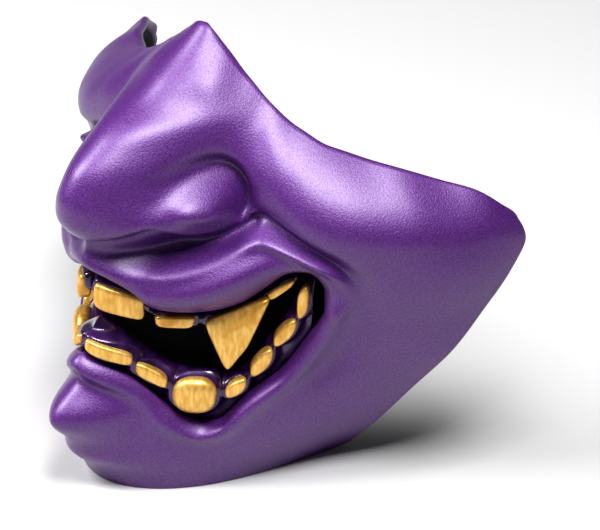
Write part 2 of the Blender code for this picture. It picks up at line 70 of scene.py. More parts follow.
# The plain form of the face, without nose, lips and rolled rim: a height, then the reach at each angle
BODY_ANGLES = (0.0, 7.5, 15.0, 30.0, 45.0, 60.0, 75.0, 95.0)
BODY = (
    (0.00, 1.095, 1.060, 0.975, 0.770, 0.622, 0.555, 0.550, 0.560),
    (0.10, 1.165, 1.090, 0.990, 0.850, 0.738, 0.690, 0.685, 0.690),
    (0.21, 1.195, 1.088, 0.985, 0.875, 0.790, 0.770, 0.790, 0.805),
    (0.32, 1.165, 1.058, 0.970, 0.865, 0.810, 0.815, 0.875, 0.895),
    (0.43, 1.135, 1.040, 0.945, 0.845, 0.820, 0.855, 0.915, 0.955),
    (0.54, 1.115, 1.035, 0.930, 0.805, 0.825, 0.890, 0.955, 0.995),
    (0.65, 1.070, 0.990, 0.880, 0.770, 0.850, 0.892, 0.925, 1.000),
    (0.76, 0.870, 0.830, 0.765, 0.740, 0.812, 0.850, 0.885, 1.000),
    (0.88, 0.700, 0.668, 0.638, 0.630, 0.740, 0.832, 0.910, 1.000),
    (1.00, 0.570, 0.540, 0.510, 0.530, 0.670, 0.800, 0.900, 1.000),
)

# The rolled top rim: angle, height, reach at the edge, and how far down the roll goes
RIM = (
    (0.0, 1.000, 0.550, 0.06),
    (3.0, 0.9965, 0.547, 0.06),
    (6.0, 0.984, 0.543, 0.06),
    (9.0, 0.969, 0.541, 0.06),
    (12.0, 0.955, 0.541, 0.06),
    (15.4, 0.938, 0.544, 0.07),
    (19.3, 0.919, 0.552, 0.08),
    (23.3, 0.901, 0.561, 0.09),
    (27.2, 0.881, 0.571, 0.10),
    (32.4, 0.858, 0.586, 0.12),
    (38.1, 0.834, 0.602, 0.15),
    (43.2, 0.817, 0.619, 0.17),
    (47.3, 0.803, 0.636, 0.18),
    (53.4, 0.788, 0.650, 0.17),
    (61.9, 0.769, 0.688, 0.15),
    (69.3, 0.754, 0.735, 0.13),
    (75.2, 0.737, 0.772, 0.12),
    (80.2, 0.721, 0.816, 0.11),
    (87.0, 0.692, 0.896, 0.09),
    (95.0, 0.600, 0.992, 0.05),
)

# The nose: height, reach of its ridge, roundness of the ridge, half angle of its foot, hollow of its sides
NOSE = (
    (0.590, 1.130, 0.50, 29.0, 1.5),
    (0.627, 1.154, 0.45, 29.0, 1.5),
    (0.662, 1.196, 0.32, 29.0, 1.6),
    (0.696, 1.210, 0.26, 29.0, 1.8),
    (0.724, 1.208, 0.15, 29.0, 1.9),
    (0.751, 1.186, 0.13, 30.0, 2.0),
    (0.791, 1.128, 0.13, 30.0, 2.0),
    (0.815, 1.068, 0.14, 30.0, 1.9),
    (0.849, 0.967, 0.18, 30.0, 1.7),
    (0.869, 0.882, 0.22, 30.0, 1.6),
    (0.911, 0.763, 0.30, 30.0, 1.4),
    (0.934, 0.702, 0.40, 30.0, 1.3),
    (0.955, 0.650, 0.50, 30.0, 1.3),
    (1.000, 0.566, 0.60, 30.0, 1.3),
)
# Lower edge of the nose, over the nostril and under the wing: angle, height
NOSE_BASE = (
    (0.0, 0.616), (5.0, 0.618), (9.0, 0.638), (12.0, 0.650), (14.3, 0.642), (16.3, 0.624),
    (18.8, 0.614), (22.0, 0.616), (25.4, 0.634), (28.5, 0.656),
)
NOSE_BASE_BAND = 0.017
# Inside, the step at the lower edge of the nose lies higher and is softer, and the nose has no grooves
INNER_BASE_LIFT = 0.018
INNER_BASE_BAND = 0.070

# Inside, the rolled rim is as flat across the middle as it is at this angle
INNER_RIM_ANGLE = 3.5
# The wall thins towards the top rim within this height
RIM_TAPER = 0.04
# The top rim ends at this height, and the side edge takes over from it within this much more
RIM_END = 0.62
RIM_END_BAND = 0.07

# The path of a ridge is read in this many pieces a stretch, and the pieces are blended by nearness: how soft
# the blend is at the path, and how strongly the nearest piece pulls
PATH_STEPS = 6
PATH_BLEND = 0.01
PATH_PULL = 4
# The grid between the mouth and the outer edge: points read along an edge, every how many of them the
# mouth's outline takes, and how the rings crowd towards the mouth
EDGE_SAMPLES = 601
MOUTH_STEP = 6
RING_CROWDING = 1.35
# Steps, in degrees and in height, that find which way the surface faces
NORMAL_TURN = 0.4
NORMAL_RAISE = 0.004

# Spokes run from the edge of the mouth to the outer edge: mouth angle, mouth height, edge angle, edge height
SPOKES = (
    (0.0, 0.535, 0.0, 1.000),
    (4.5, 0.520, 6.0, 0.978),
    (8.5, 0.495, 15.2, 0.934),
    (11.5, 0.455, 24.9, 0.891),
    (16.5, 0.445, 29.2, 0.874),
    (21.5, 0.447, 34.6, 0.854),
    (27.5, 0.462, 41.0, 0.826),
    (34.0, 0.503, 47.3, 0.804),
    (39.5, 0.540, 57.0, 0.780),
    (43.8, 0.547, 69.3, 0.754),
    (46.8, 0.527, 80.2, 0.721),
    (48.1, 0.495, 87.0, 0.692),
    (48.1, 0.455, 92.5, 0.635),
    (46.6, 0.418, 93.5, 0.594),
    (43.6, 0.370, 89.7, 0.520),
    (40.3, 0.324, 82.5, 0.390),
    (37.0, 0.288, 75.0, 0.275),
    (34.0, 0.268, 70.0, 0.195),
    (30.9, 0.246, 65.5, 0.130),
    (28.4, 0.221, 60.5, 0.060),
    (26.1, 0.194, 57.5, 0.010),
    (24.2, 0.174, 50.0, 0.000),
    (21.2, 0.166, 41.0, 0.000),
    (18.3, 0.172, 32.0, 0.000),
    (14.0, 0.209, 22.5, 0.000),
    (10.0, 0.258, 15.0, 0.000),
    (5.5, 0.300, 8.0, 0.000),
    (0.0, 0.335, 0.0, 0.000),
)

# The reach at which the flat map of the face measures how far round a place lies
MAP_REACH = 0.85
# Ridges (rise above 0) and grooves (below 0), as paths of angle, height, half width and rise
FORMS = {
    "chin": ((0.0, 0.195, 0.115, 0.105), (5.0, 0.190, 0.115, 0.064), (9.0, 0.180, 0.110, 0.020)),
    "chin_under": ((0.0, 0.090, 0.060, 0.035), (6.0, 0.085, 0.060, 0.030), (14.0, 0.075, 0.060, 0.010)),
    "under_lip": ((0.0, 0.270, 0.048, -0.038), (8.0, 0.232, 0.048, -0.032), (14.0, 0.182, 0.048, -0.004)),
    "lower_lip": (
        (0.0, 0.320, 0.035, 0.030), (5.5, 0.285, 0.035, 0.030), (10.0, 0.243, 0.035, 0.030),
        (14.0, 0.193, 0.035, 0.030), (18.0, 0.154, 0.035, 0.030), (21.5, 0.146, 0.035, 0.030),
        (25.0, 0.163, 0.038, 0.032), (28.9, 0.202, 0.040, 0.033), (33.5, 0.243, 0.042, 0.034),
        (38.9, 0.285, 0.045, 0.034), (43.4, 0.338, 0.047, 0.034), (46.8, 0.388, 0.047, 0.033),
        (49.3, 0.445, 0.048, 0.030),
    ),
    "upper_lip": (
        (0.0, 0.555, 0.050, 0.020), (5.0, 0.545, 0.055, 0.030), (10.5, 0.505, 0.080, 0.062),
        (16.5, 0.505, 0.100, 0.105), (22.0, 0.522, 0.105, 0.120), (27.0, 0.545, 0.105, 0.118),
        (31.5, 0.562, 0.095, 0.096), (36.0, 0.567, 0.080, 0.060), (42.0, 0.560, 0.058, 0.026),
        (48.5, 0.528, 0.052, 0.014), (51.0, 0.470, 0.052, 0.020),
    ),
    "lip_crest": (
        (6.0, 0.560, 0.025, 0.010), (10.2, 0.543, 0.028, 0.020), (16.4, 0.555, 0.028, 0.030),
        (21.0, 0.572, 0.028, 0.030), (26.0, 0.596, 0.027, 0.030), (31.2, 0.617, 0.025, 0.032),
        (35.0, 0.618, 0.022, 0.036), (40.3, 0.602, 0.020, 0.038), (46.5, 0.577, 0.020, 0.034),
        (50.2, 0.557, 0.021, 0.026), (53.0, 0.531, 0.024, 0.016), (54.8, 0.495, 0.026, 0.005),
    ),
    "cheek_fold": (
        (29.5, 0.652, 0.040, -0.020), (33.0, 0.650, 0.034, -0.044), (40.3, 0.623, 0.034, -0.048),
        (46.5, 0.597, 0.034, -0.040), (52.0, 0.566, 0.040, -0.028), (56.5, 0.505, 0.055, -0.020),
        (57.0, 0.440, 0.060, -0.022), (55.5, 0.395, 0.060, -0.025), (53.0, 0.330, 0.060, -0.025),
        (47.0, 0.282, 0.055, -0.018), (42.5, 0.250, 0.050, -0.005),
    ),
    "under_nose": (
        (3.0, 0.578, 0.040, -0.030), (8.0, 0.580, 0.050, -0.070), (13.0, 0.590, 0.055, -0.085),
        (18.0, 0.592, 0.045, -0.070), (24.0, 0.608, 0.040, -0.060), (29.0, 0.636, 0.035, -0.050),
    ),
    "cheekbone": ((38.0, 0.735, 0.150, 0.015), (50.0, 0.715, 0.160, 0.025), (66.0, 0.690, 0.160, 0.020)),
}
# Forms that belong to the nose and end at its lower edge
NOSE_FORMS = {
    "lower_band": ((4.0, 0.645, 0.060, 0.010), (10.0, 0.652, 0.068, 0.034), (16.0, 0.652, 0.068, 0.034)),
    "wing": ((15.0, 0.686, 0.052, 0.030), (18.0, 0.692, 0.058, 0.072), (21.2, 0.684, 0.058, 0.080)),
    "wing_groove": (
        (10.5, 0.732, 0.042, 0.000), (13.2, 0.748, 0.045, -0.045), (16.2, 0.756, 0.048, -0.072),
        (19.7, 0.750, 0.048, -0.079), (23.6, 0.728, 0.046, -0.081), (26.0, 0.694, 0.042, -0.085),
        (26.4, 0.655, 0.038, -0.050),
    ),
}

# The roundness of the lips at the mouth: how wide the turn is, and how far it turns inwards
LIP_TURN = 0.055
LIP_DROP = 0.042


def tangents(x, y, tight):
    """Slopes at the points of a smooth curve: a tight curve never swings past its points."""
    step = np.diff(x)
    slope = np.diff(y, axis=-1) / step
    result = np.zeros_like(y)
    result[..., 0] = slope[..., 0]
    result[..., -1] = slope[..., -1]
    before, after = slope[..., :-1], slope[..., 1:]
    if tight:
        product = before * after
        total = np.where(product > 0.0, before + after, 1.0)
        result[..., 1:-1] = np.where(product > 0.0, 2.0 * product / total, 0.0)
        return result
    count = len(x)
    system = np.zeros((count, count))
    right = np.zeros_like(y)
    system[0, :2] = (2.0, 1.0)
    system[-1, -2:] = (1.0, 2.0)
    right[..., 0] = 3.0 * slope[..., 0]
    right[..., -1] = 3.0 * slope[..., -1]
    for k in range(1, count - 1):
        system[k, k - 1 : k + 2] = (step[k], 2.0 * (step[k - 1] + step[k]), step[k - 1])
        right[..., k] = 3.0 * (step[k] * slope[..., k - 1] + step[k - 1] * slope[..., k])
    return right @ np.linalg.inv(system).T


def through(x, y, at, tight=False):
    """Curve through the points x, y, read at the given places; y may have a row for each place."""
    x = np.asarray(x, float)
    y = np.asarray(y, float)
    at = np.clip(at, x[0], x[-1])
    slopes = tangents(x, y, tight)
    index = np.clip(np.searchsorted(x, at, side="right") - 1, 0, len(x) - 2)

    def pick(values, k):
        if values.ndim == 1:
            return values[k]
        return np.take_along_axis(values, k[..., None], axis=-1)[..., 0]

    width = x[index + 1] - x[index]
    t = (at - x[index]) / width
    return (
        pick(y, index) * (2 * t**3 - 3 * t**2 + 1)
        + pick(slopes, index) * width * (t**3 - 2 * t**2 + t)
        + pick(y, index + 1) * (3 * t**2 - 2 * t**3)
        + pick(slopes, index + 1) * width * (t**3 - t**2)
    )


def columns(table, at, tight=False):
    """The columns of a table after its first, each read as a smooth curve over the first."""
    table = np.asarray(table, float)
    return [through(table[:, 0], column, at, tight) for column in table.T[1:]]


def smoothstep(t):
    t = np.clip(t, 0.0, 1.0)
    return t * t * (3.0 - 2.0 * t)


def body_reach(angle, height):
    """Reach of the plain face form at each angle and height."""
    section = np.stack(columns(BODY, height), axis=-1)
    both_sides = np.concatenate([section[..., :0:-1], section], axis=-1)
    angles = np.concatenate([-np.array(BODY_ANGLES[:0:-1]), BODY_ANGLES])
    return through(angles, both_sides, angle)


def on_map(angle, height):
    """Flat map of the face, in half widths: how far round, and how high."""
    return np.stack([np.radians(angle) * MAP_REACH, height * HEIGHT / (WIDTH / 2)], axis=-1)


def form_rise(rows, angle, height):
    """Rise of one ridge or groove, which fades to both sides of its path."""
    rows = np.asarray(rows, float)
    places = on_map(angle, height)
    total = np.zeros(angle.shape)
    weights = np.zeros(angle.shape)
    stations = np.linspace(0.0, len(rows) - 1.0, PATH_STEPS * len(rows))
    fine = np.stack(columns(np.column_stack([np.arange(len(rows)), rows]), stations), axis=-1)
    nodes = on_map(fine[:, 0], fine[:, 1])
    for start, end, a, b in zip(nodes[:-1], nodes[1:], fine[:-1], fine[1:]):
        run = end - start
        t = np.clip(((places - start) @ run) / (run @ run), 0.0, 1.0)
        away = np.linalg.norm(places - start - t[..., None] * run, axis=-1)
        half_width = a[2] + t * (b[2] - a[2])
        here = (a[3] + t * (b[3] - a[3])) * np.exp(-((away / half_width) ** 2))
        weight = ((away / half_width) ** 2 + PATH_BLEND) ** -PATH_PULL
        total = total + weight * here
        weights = weights + weight
    return total / weights


def nose_reach(angle, height, body, inside):
    """Reach with the nose on top of the plain form: a rounded ridge, wings and grooves over a sharp base."""
    ridge, roundness, foot, hollow = columns(NOSE, height)
    middle = body_reach(np.zeros(angle.shape), height)
    share = np.abs(angle) / foot
    fall = 1.0 - (np.hypot(share, roundness) - roundness) / (np.hypot(1.0, roundness) - roundness)
    rise = (ridge - middle) * np.clip(fall, 0.0, 1.0) ** hollow
    base = columns(NOSE_BASE, np.abs(angle))[0]
    if inside:
        return body + rise * smoothstep((height - base - INNER_BASE_LIFT) / INNER_BASE_BAND)
    rise = rise + relief(angle, height, NOSE_FORMS)
    return body + rise * smoothstep((height - base) / NOSE_BASE_BAND)


def rim_roll(angle, height, reach_at_rim, inside):
    """Turn of the surface towards the top rim."""
    top, edge, length = columns(RIM, np.abs(angle))
    if inside:
        edge = columns(RIM, np.maximum(np.abs(angle), INNER_RIM_ANGLE))[1]
    below = np.clip(1.0 - (top - height) / length, 0.0, 1.0)
    return (edge - reach_at_rim) * below**2


def broad_reach(angle, height, inside=False):
    """Reach of the broad forms: face, nose and rolled rim, without lips and folds."""
    angle = np.asarray(angle, float)
    height = np.asarray(height, float)
    plain = nose_reach(angle, height, body_reach(angle, height), inside)
    top = columns(RIM, np.abs(angle))[0]
    at_rim = nose_reach(angle, top, body_reach(angle, top), inside)
    return plain + rim_roll(angle, height, at_rim, inside)


def relief(angle, height, forms):
    """Sum of ridges and grooves, mirrored about the middle."""
    total = np.zeros(angle.shape)
    for rows in forms.values():
        total = total + form_rise(rows, np.abs(angle), height)
    return total


def place(angle, height, reach):
    """World position of places on the mask."""
    turn = np.radians(angle)
    forward = reach * np.cos(turn)
    return np.stack(
        [
            WIDTH / 2 * reach * np.sin(turn) / SIDE_REACH,
            DEPTH * (0.5 - (forward + BACK_REACH) / (FRONT_REACH + BACK_REACH)),
            HEIGHT * height,
        ],
        axis=-1,
    )


def spoke_grid(spokes, rings):
    """Angles and heights of the grid between the mouth and the outer edge, evenly spaced along the edges."""
    table = np.column_stack([np.linspace(0.0, 1.0, len(SPOKES)), np.asarray(SPOKES, float)])
    fine = np.stack(columns(table, np.linspace(0.0, 1.0, EDGE_SAMPLES), tight=True), axis=-1)
    mouth = on_map(fine[:, 0], fine[:, 1])
    edge = on_map(fine[:, 2], fine[:, 3])
    run = np.linalg.norm(np.diff(mouth, axis=0), axis=1) + np.linalg.norm(np.diff(edge, axis=0), axis=1)
    length = np.concatenate([[0.0], np.cumsum(run)])
    chosen = np.interp(np.linspace(0.0, length[-1], spokes), length, np.linspace(0.0, 1.0, EDGE_SAMPLES))
    rows = np.stack(columns(table, chosen, tight=True), axis=-1)
    on_rim = smoothstep((rows[:, 3] - RIM_END) / RIM_END_BAND)
    rows[:, 3] += on_rim * (columns(RIM, rows[:, 2])[0] - rows[:, 3])
    share = np.linspace(0.0, 1.0, rings)[None, :] ** RING_CROWDING
    angle = rows[:, 0:1] * (1 - share) + rows[:, 2:3] * share
    height = rows[:, 1:2] * (1 - share) + rows[:, 3:4] * share
    return angle, height, mouth


def lip_turn(angle, height, mouth):
    """Inward turn of the lips at the edge of the mouth."""
    places = on_map(angle, height)
    away = np.full(angle.shape, np.inf)
    for start, end in zip(mouth[:-1:MOUTH_STEP], mouth[MOUTH_STEP::MOUTH_STEP]):
        run = end - start
        t = np.clip(((places - start) @ run) / (run @ run), 0.0, 1.0)
        away = np.minimum(away, np.linalg.norm(places - start - t[..., None] * run, axis=-1))
    near = np.clip(1.0 - away / LIP_TURN, 0.0, 1.0)
    return -LIP_DROP * (1.0 - np.sqrt(1.0 - near**2))


def beneath(angle, height, depth):
    """World position at a depth under the inner form, square to it."""

    def at(turned, raised):
        there = (angle + turned, height + raised)
        return place(*there, broad_reach(*there, inside=True))

    across = at(NORMAL_TURN, 0.0) - at(-NORMAL_TURN, 0.0)
    upward = at(0.0, NORMAL_RAISE) - at(0.0, -NORMAL_RAISE)
    inward = np.cross(upward, across)
    inward = inward / np.linalg.norm(inward, axis=-1, keepdims=True)
    return at(0.0, 0.0) + np.asarray(depth)[..., None] * inward


def wall_depth(angle, height, outer_reach):
    """Depth of the inner skin under the inner form: a full wall, thinner at the rim and behind grooves."""
    below_rim = (columns(RIM, np.abs(angle))[0] - height) / RIM_TAPER
    wall = RIM_WALL + (WALL - RIM_WALL) * smoothstep(below_rim)
    sunk = (broad_reach(angle, height, inside=True) - outer_reach) * WIDTH / 2
    depth = np.maximum(wall, THIN_WALL + sunk)
    # the largest depth nearby, so that facets keep their wall
    padded = np.pad(depth, 1, mode="edge")
    rows, rings = depth.shape
    shifted = [padded[i : i + rows, j : j + rings] for i in range(3) for j in range(3)]
    return np.max(shifted, axis=0)


class Signal:
    """A socket in a material, so that shader maths can be written as expressions."""

    def __init__(self, tree, socket):
        self.tree = tree
        self.socket = socket

    def node(self, kind, settings=None, sockets=None):
        made = self.tree.nodes.new(kind)
        for key, value in (settings or {}).items():
            setattr(made, key, value)
        for key, value in (sockets or {}).items():
            target = made.inputs[key]
            if isinstance(value, Signal):
                self.tree.links.new(value.socket, target)
            else:
                target.default_value = value
        return made

    def out(self, made, name=0):
        return Signal(self.tree, made.outputs[name])

    def maths(self, operation, *values):
        made = self.node("ShaderNodeMath", {"operation": operation}, dict(enumerate(values)))
        return self.out(made)

    def __add__(self, other):
        return self.maths("ADD", self, other)

    def __radd__(self, other):
        return self.maths("ADD", other, self)

    def __rsub__(self, other):
        return self.maths("SUBTRACT", other, self)

    def __mul__(self, other):
        return self.maths("MULTIPLY", self, other)

    def __rmul__(self, other):
        return self.maths("MULTIPLY", other, self)

    def between(self, low, high):
        """0 below low, 1 above high, smooth between."""
        sockets = {"Value": self, "From Min": low, "From Max": high}
        return self.out(self.node("ShaderNodeMapRange", {"interpolation_type": "SMOOTHSTEP"}, sockets))

    def colours(self, first, second):
        """The first colour where this is 0 and the second where it is 1."""
        made = self.node("ShaderNodeMix", {"data_type": "RGBA"}, {0: self})
        # inputs 6 and 7 of the node are its two colours, and output 2 is the mixed one
        for index, colour in ((6, first), (7, second)):
            if isinstance(colour, Signal):
                self.tree.links.new(colour.socket, made.inputs[index])
            else:
                made.inputs[index].default_value = (*colour, 1.0)
        return self.out(made, 2)


def new_finish(name, fixed):
    """A material with its fixed values set on the shader, and the signals to draw with."""
    made = bpy.data.materials.new(name)
    made.use_nodes = True
    shader = made.node_tree.nodes["Principled BSDF"]
    for socket, value in fixed.items():
        shader.inputs[socket].default_value = value
    draw = Signal(made.node_tree, None)
    places = draw.out(draw.node("ShaderNodeTexCoord"), "Object")
    return made, shader, draw, places


def feed(shader, socket, signal):
    """Drive one socket of the shader with a signal."""
    signal.tree.links.new(signal.socket, shader.inputs[socket])


def noise(draw, places, scale, detail=2.0):
    """Soft noise from 0 to 1, with about this many waves to the metre."""
    sockets = {"Vector": places, "Scale": scale, "Detail": detail}
    return draw.out(draw.node("ShaderNodeTexNoise", None, sockets), "Fac")


# Metres: how deep the finest relief of a paint goes
PAINT_RELIEF = 0.0002


def bump(draw, height, strength):
    """Surface direction for the fine relief of a paint."""
    sockets = {"Height": height, "Strength": strength, "Distance": PAINT_RELIEF}
    return draw.out(draw.node("ShaderNodeBump", None, sockets), "Normal")


def mark(mesh, name, values):
    """Keep one number for each vertex, which a material reads by name."""
    layer = mesh.attributes.new(name, "FLOAT", "POINT")
    layer.data.foreach_set("value", np.asarray(values, np.float32).ravel())


def read_mark(draw, name):
    """The number that mark() keeps under this name."""
    return draw.out(draw.node("ShaderNodeAttribute", {"attribute_name": name}), "Fac")


def loop_mesh(name, grid, closed_around, closed_across, finish):
    """A smooth mesh from a grid of points, closed round its rows, its columns or both."""
    rows, columns_count = grid.shape[:2]
    index = np.arange(rows * columns_count).reshape(rows, columns_count)
    if closed_around:
        index = np.concatenate([index, index[:1]], axis=0)
    if closed_across:
        index = np.concatenate([index, index[:, :1]], axis=1)
    corners = (index[:-1, :-1], index[:-1, 1:], index[1:, 1:], index[1:, :-1])
    faces = np.stack(corners, axis=-1).reshape(-1, 4)
    mesh = bpy.data.meshes.new(name)
    mesh.from_pydata(grid.reshape(-1, 3).tolist(), [], faces.tolist())
    mesh.shade_smooth()
    mesh.materials.append(finish)
    made = bpy.data.objects.new(name, mesh)
    bpy.context.scene.collection.objects.link(made)
    return made


DEEP_PURPLE = (0.062, 0.010, 0.118)
BRIGHT_PURPLE = (0.106, 0.021, 0.196)
# near black, the colour of the whole inner skin
NEAR_BLACK_INSIDE = (0.010, 0.006, 0.016)

purple, shader, draw, places = new_finish("pearl purple paint", {
    "Metallic": 0.3,
    "Coat Roughness": 0.35,
})
inside = read_mark(draw, "inside")
flakes = noise(draw, places, scale=2200.0)
paint = flakes.between(0.3, 0.72).colours(DEEP_PURPLE, BRIGHT_PURPLE)
feed(shader, "Base Color", inside.colours(paint, NEAR_BLACK_INSIDE))
feed(shader, "Roughness", 0.38 + 0.12 * flakes + 0.4 * inside)
feed(shader, "Coat Weight", (0.25 + 0.65 * flakes) * (1.0 - inside))
feed(shader, "Normal", bump(draw, flakes, strength=0.8))

angle, height, mouth = spoke_grid(SHELL_SPOKES, SHELL_RINGS)
outer_reach = broad_reach(angle, height) + relief(angle, height, FORMS) + lip_turn(angle, height, mouth)
outer = place(angle, height, outer_reach)
inner = beneath(angle, height, wall_depth(angle, height, outer_reach))
inner[..., 2] = np.where(height < ON_FLOOR, 0.0, inner[..., 2])
for skin in (outer, inner):
    skin[0, :, 0] = 0.0
    skin[-1, :, 0] = 0.0


def rounded_edge(front, back, front_before, back_before):
    """Points that round the wall's edge over from one skin to the other."""
    middle = (front + back) / 2
    ahead = (front + back - front_before - back_before) / 2
    ahead = ahead / np.linalg.norm(ahead, axis=-1, keepdims=True)
    half = np.linalg.norm(front - back, axis=-1, keepdims=True) / 2
    points = []
    for step in range(1, RIM_STEPS):
        turn = np.pi * step / RIM_STEPS
        points.append(middle + (front - middle) * np.cos(turn) + ahead * half * np.sin(turn) * RIM_BULGE)
    edge = np.stack(points, axis=1)
    edge[..., 2] = np.maximum(edge[..., 2], 0.0)
    return edge


outer_edge = rounded_edge(outer[:, -1], inner[:, -1], outer[:, -2], inner[:, -2])
mouth_edge = rounded_edge(inner[:, 0], outer[:, 0], inner[:, 1], outer[:, 1])
half_loop = np.concatenate([outer, outer_edge, inner[:, ::-1], mouth_edge], axis=1)
half_loop[0, :, 0] = 0.0
half_loop[-1, :, 0] = 0.0
other_half = half_loop[-2:0:-1] * (-1.0, 1.0, 1.0)
shell = loop_mesh("painted_shell", np.concatenate([half_loop, other_half])[::-1], True, True, purple)
# from the outer edge inwards: the inner skin is coloured near black, but the purple paint wraps a little way
# round both its edges
inner_dark = np.clip(np.arange(SHELL_RINGS) / WRAP_RINGS, 0.0, 1.0)
inner_dark[-WRAP_RINGS:] = 0.0
dark = np.concatenate([np.zeros(SHELL_RINGS + RIM_STEPS - 1), inner_dark, np.zeros(RIM_STEPS - 1)])
mark(shell.data, "inside", np.tile(dark, len(shell.data.vertices) // len(dark)))
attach(shell, "root")
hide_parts("mask_shell")

# The gum ridges: an upper and a lower bar behind the lips, cast with a raised frame round every tooth and
# painted a darker, glossier purple than the face.

# Metres: how thick the gums and teeth are, the gap between shell and gums, and the frames round the teeth,
# which run flat for a little way, then fall off, and are gone near the lips
GUM_DEPTH = 0.0065
TOOTH_DEPTH = 0.0040
TUSK_DEPTH = 0.0060
FANG_DEPTH = 0.0054
GUM_CLEARANCE = 0.0010
FRAME_RISE = 0.0029
FRAME_FLAT = 0.0005
FRAME_WIDTH = 0.0013
LIP_MARGIN = 0.0012
LIP_CLEAR = LIP_MARGIN * 0.3
# The grid of a gum: points along it, up its front and down its back
GUM_ACROSS = 360
GUM_FRONT = 60
GUM_BACK = 10
# How far front and back curve away towards the edges of a gum, in gum depths, and how late they do so
FRONT_CURVE, FRONT_LATE = 0.45, 5
BACK_CURVE, BACK_LATE = 0.35, 4
# The outline of a tapered tooth is found by this many tries. Its taper ends at this depth, in half heights,
# and leaves at least this share of the width
OUTLINE_TRIES = 6
LOWEST_TAPER = -1.3
NARROWEST = 0.1
# Shares and lengths are read as no less than these
NEAR_MIDDLE = 0.05
TINY = 1e-9

# Gum ridges: angle, height of the lower edge, height of the upper edge
UPPER_GUM = (
    (0.0, 0.470, 0.550), (6.0, 0.460, 0.530), (12.0, 0.410, 0.490), (18.0, 0.395, 0.480),
    (26.0, 0.420, 0.500), (34.0, 0.468, 0.545), (37.5, 0.485, 0.560), (41.0, 0.510, 0.575),
)
LOWER_GUM = (
    (0.0, 0.290, 0.415), (5.0, 0.256, 0.380), (11.0, 0.200, 0.315), (17.0, 0.126, 0.292),
    (22.0, 0.115, 0.292), (27.0, 0.150, 0.288), (33.0, 0.190, 0.352), (38.0, 0.215, 0.422),
    (42.0, 0.250, 0.490), (45.0, 0.290, 0.540),
)

# Teeth: angle and height of the middle, half width in degrees, half height, squareness, taper, lean, depth
UPPER_TEETH = {
    "incisor": (5.6, 0.466, 3.9, 0.030, 5.0, 0.0, -0.018, TOOTH_DEPTH),
    "lateral": (14.8, 0.420, 3.8, 0.015, 4.0, 0.1, 0.0, TOOTH_DEPTH),
    "fang": (27.6, 0.396, 7.7, 0.060, 8.0, 0.72, 0.030, FANG_DEPTH),
    "rear": (37.3, 0.499, 3.6, 0.011, 3.0, 0.2, 0.020, TOOTH_DEPTH),
}
LOWER_TEETH = {
    "incisor": (4.4, 0.344, 3.6, 0.016, 4.0, 0.0, -0.019, TOOTH_DEPTH),
    "second": (11.2, 0.290, 2.7, 0.017, 3.5, 0.0, -0.018, TOOTH_DEPTH),
    "tusk": (19.2, 0.246, 4.3, 0.043, 2.4, 0.0, 0.0, TUSK_DEPTH),
    "cheek_a": (27.5, 0.263, 2.3, 0.019, 2.4, 0.0, 0.012, TOOTH_DEPTH),
    "cheek_b": (33.1, 0.324, 2.6, 0.024, 2.4, 0.0, 0.020, TOOTH_DEPTH),
    "cheek_c": (38.5, 0.396, 2.8, 0.022, 2.4, 0.0, 0.022, TOOTH_DEPTH),
    "cheek_d": (42.7, 0.472, 1.5, 0.036, 2.6, 0.0, 0.012, TOOTH_DEPTH),
}


def outline_place(row, angle, height):
    """How far places lie from the middle of a tooth: 1 on its outline."""
    middle_angle, middle_height, half_angle, half_height, square, taper, lean, _ = row
    u = (angle - middle_angle) / half_angle
    v = (height - middle_height) / half_height
    for _ in range(OUTLINE_TRIES):
        v = (height - middle_height - lean * u) / half_height
        narrow = np.maximum(1.0 - taper * (1.0 - np.clip(v, LOWEST_TAPER, 1.0)) / 2, NARROWEST)
        u = 0.5 * u + 0.5 * (angle - middle_angle) / half_angle / narrow
    return (np.abs(u) ** square + np.abs(v) ** square) ** (1.0 / square)


def into_mouth(angle, height):
    """How far places lie inside the edge of the lips, in metres, below 0 behind the lips."""
    places = on_map(angle, height)
    corners = np.concatenate([mouth[::MOUTH_STEP], mouth[::-MOUTH_STEP] * (-1.0, 1.0)])
    away = np.full(angle.shape, np.inf)
    crossings = np.zeros(angle.shape, int)
    for start, end in zip(corners, np.roll(corners, -1, axis=0)):
        run = end - start
        t = np.clip(((places - start) @ run) / max(run @ run, TINY), 0.0, 1.0)
        away = np.minimum(away, np.linalg.norm(places - start - t[..., None] * run, axis=-1))
        level = (places[..., 1] - start[1]) / (run[1] if run[1] else TINY)
        crossings += (level >= 0.0) & (level < 1.0) & (places[..., 0] < start[0] + level * run[0])
    return np.where(crossings % 2 == 1, away, -away) * WIDTH / 2


def frames_rise(rows, angle, height):
    """Height of the raised frames round the teeth, which end short of the lips."""
    total = np.zeros(angle.shape)
    for row in rows.values():
        share = outline_place(row, angle, height)
        from_middle = on_map(angle, height) - on_map(row[0], row[1])
        metres = np.linalg.norm(from_middle, axis=-1) * WIDTH / 2
        away = metres * (1.0 - 1.0 / np.maximum(share, NEAR_MIDDLE))
        total = np.maximum(total, np.exp(-((np.maximum(away - FRAME_FLAT, 0.0) / FRAME_WIDTH) ** 2)))
    clear = smoothstep((into_mouth(angle, height) - LIP_CLEAR) / LIP_MARGIN)
    return total * clear * FRAME_RISE


def towards_axis(angle):
    """Level direction from places on the mask to the upright axis."""
    turn = np.radians(angle)
    return np.stack([-np.sin(turn), np.cos(turn), np.zeros(turn.shape)], axis=-1)


def closed_ends(grid):
    """The grid of a bar with each of its ends drawn together to a point."""
    ends = np.repeat(grid.mean(axis=1, keepdims=True), grid.shape[1], axis=1)
    return np.concatenate([ends[:1], grid, ends[-1:]])


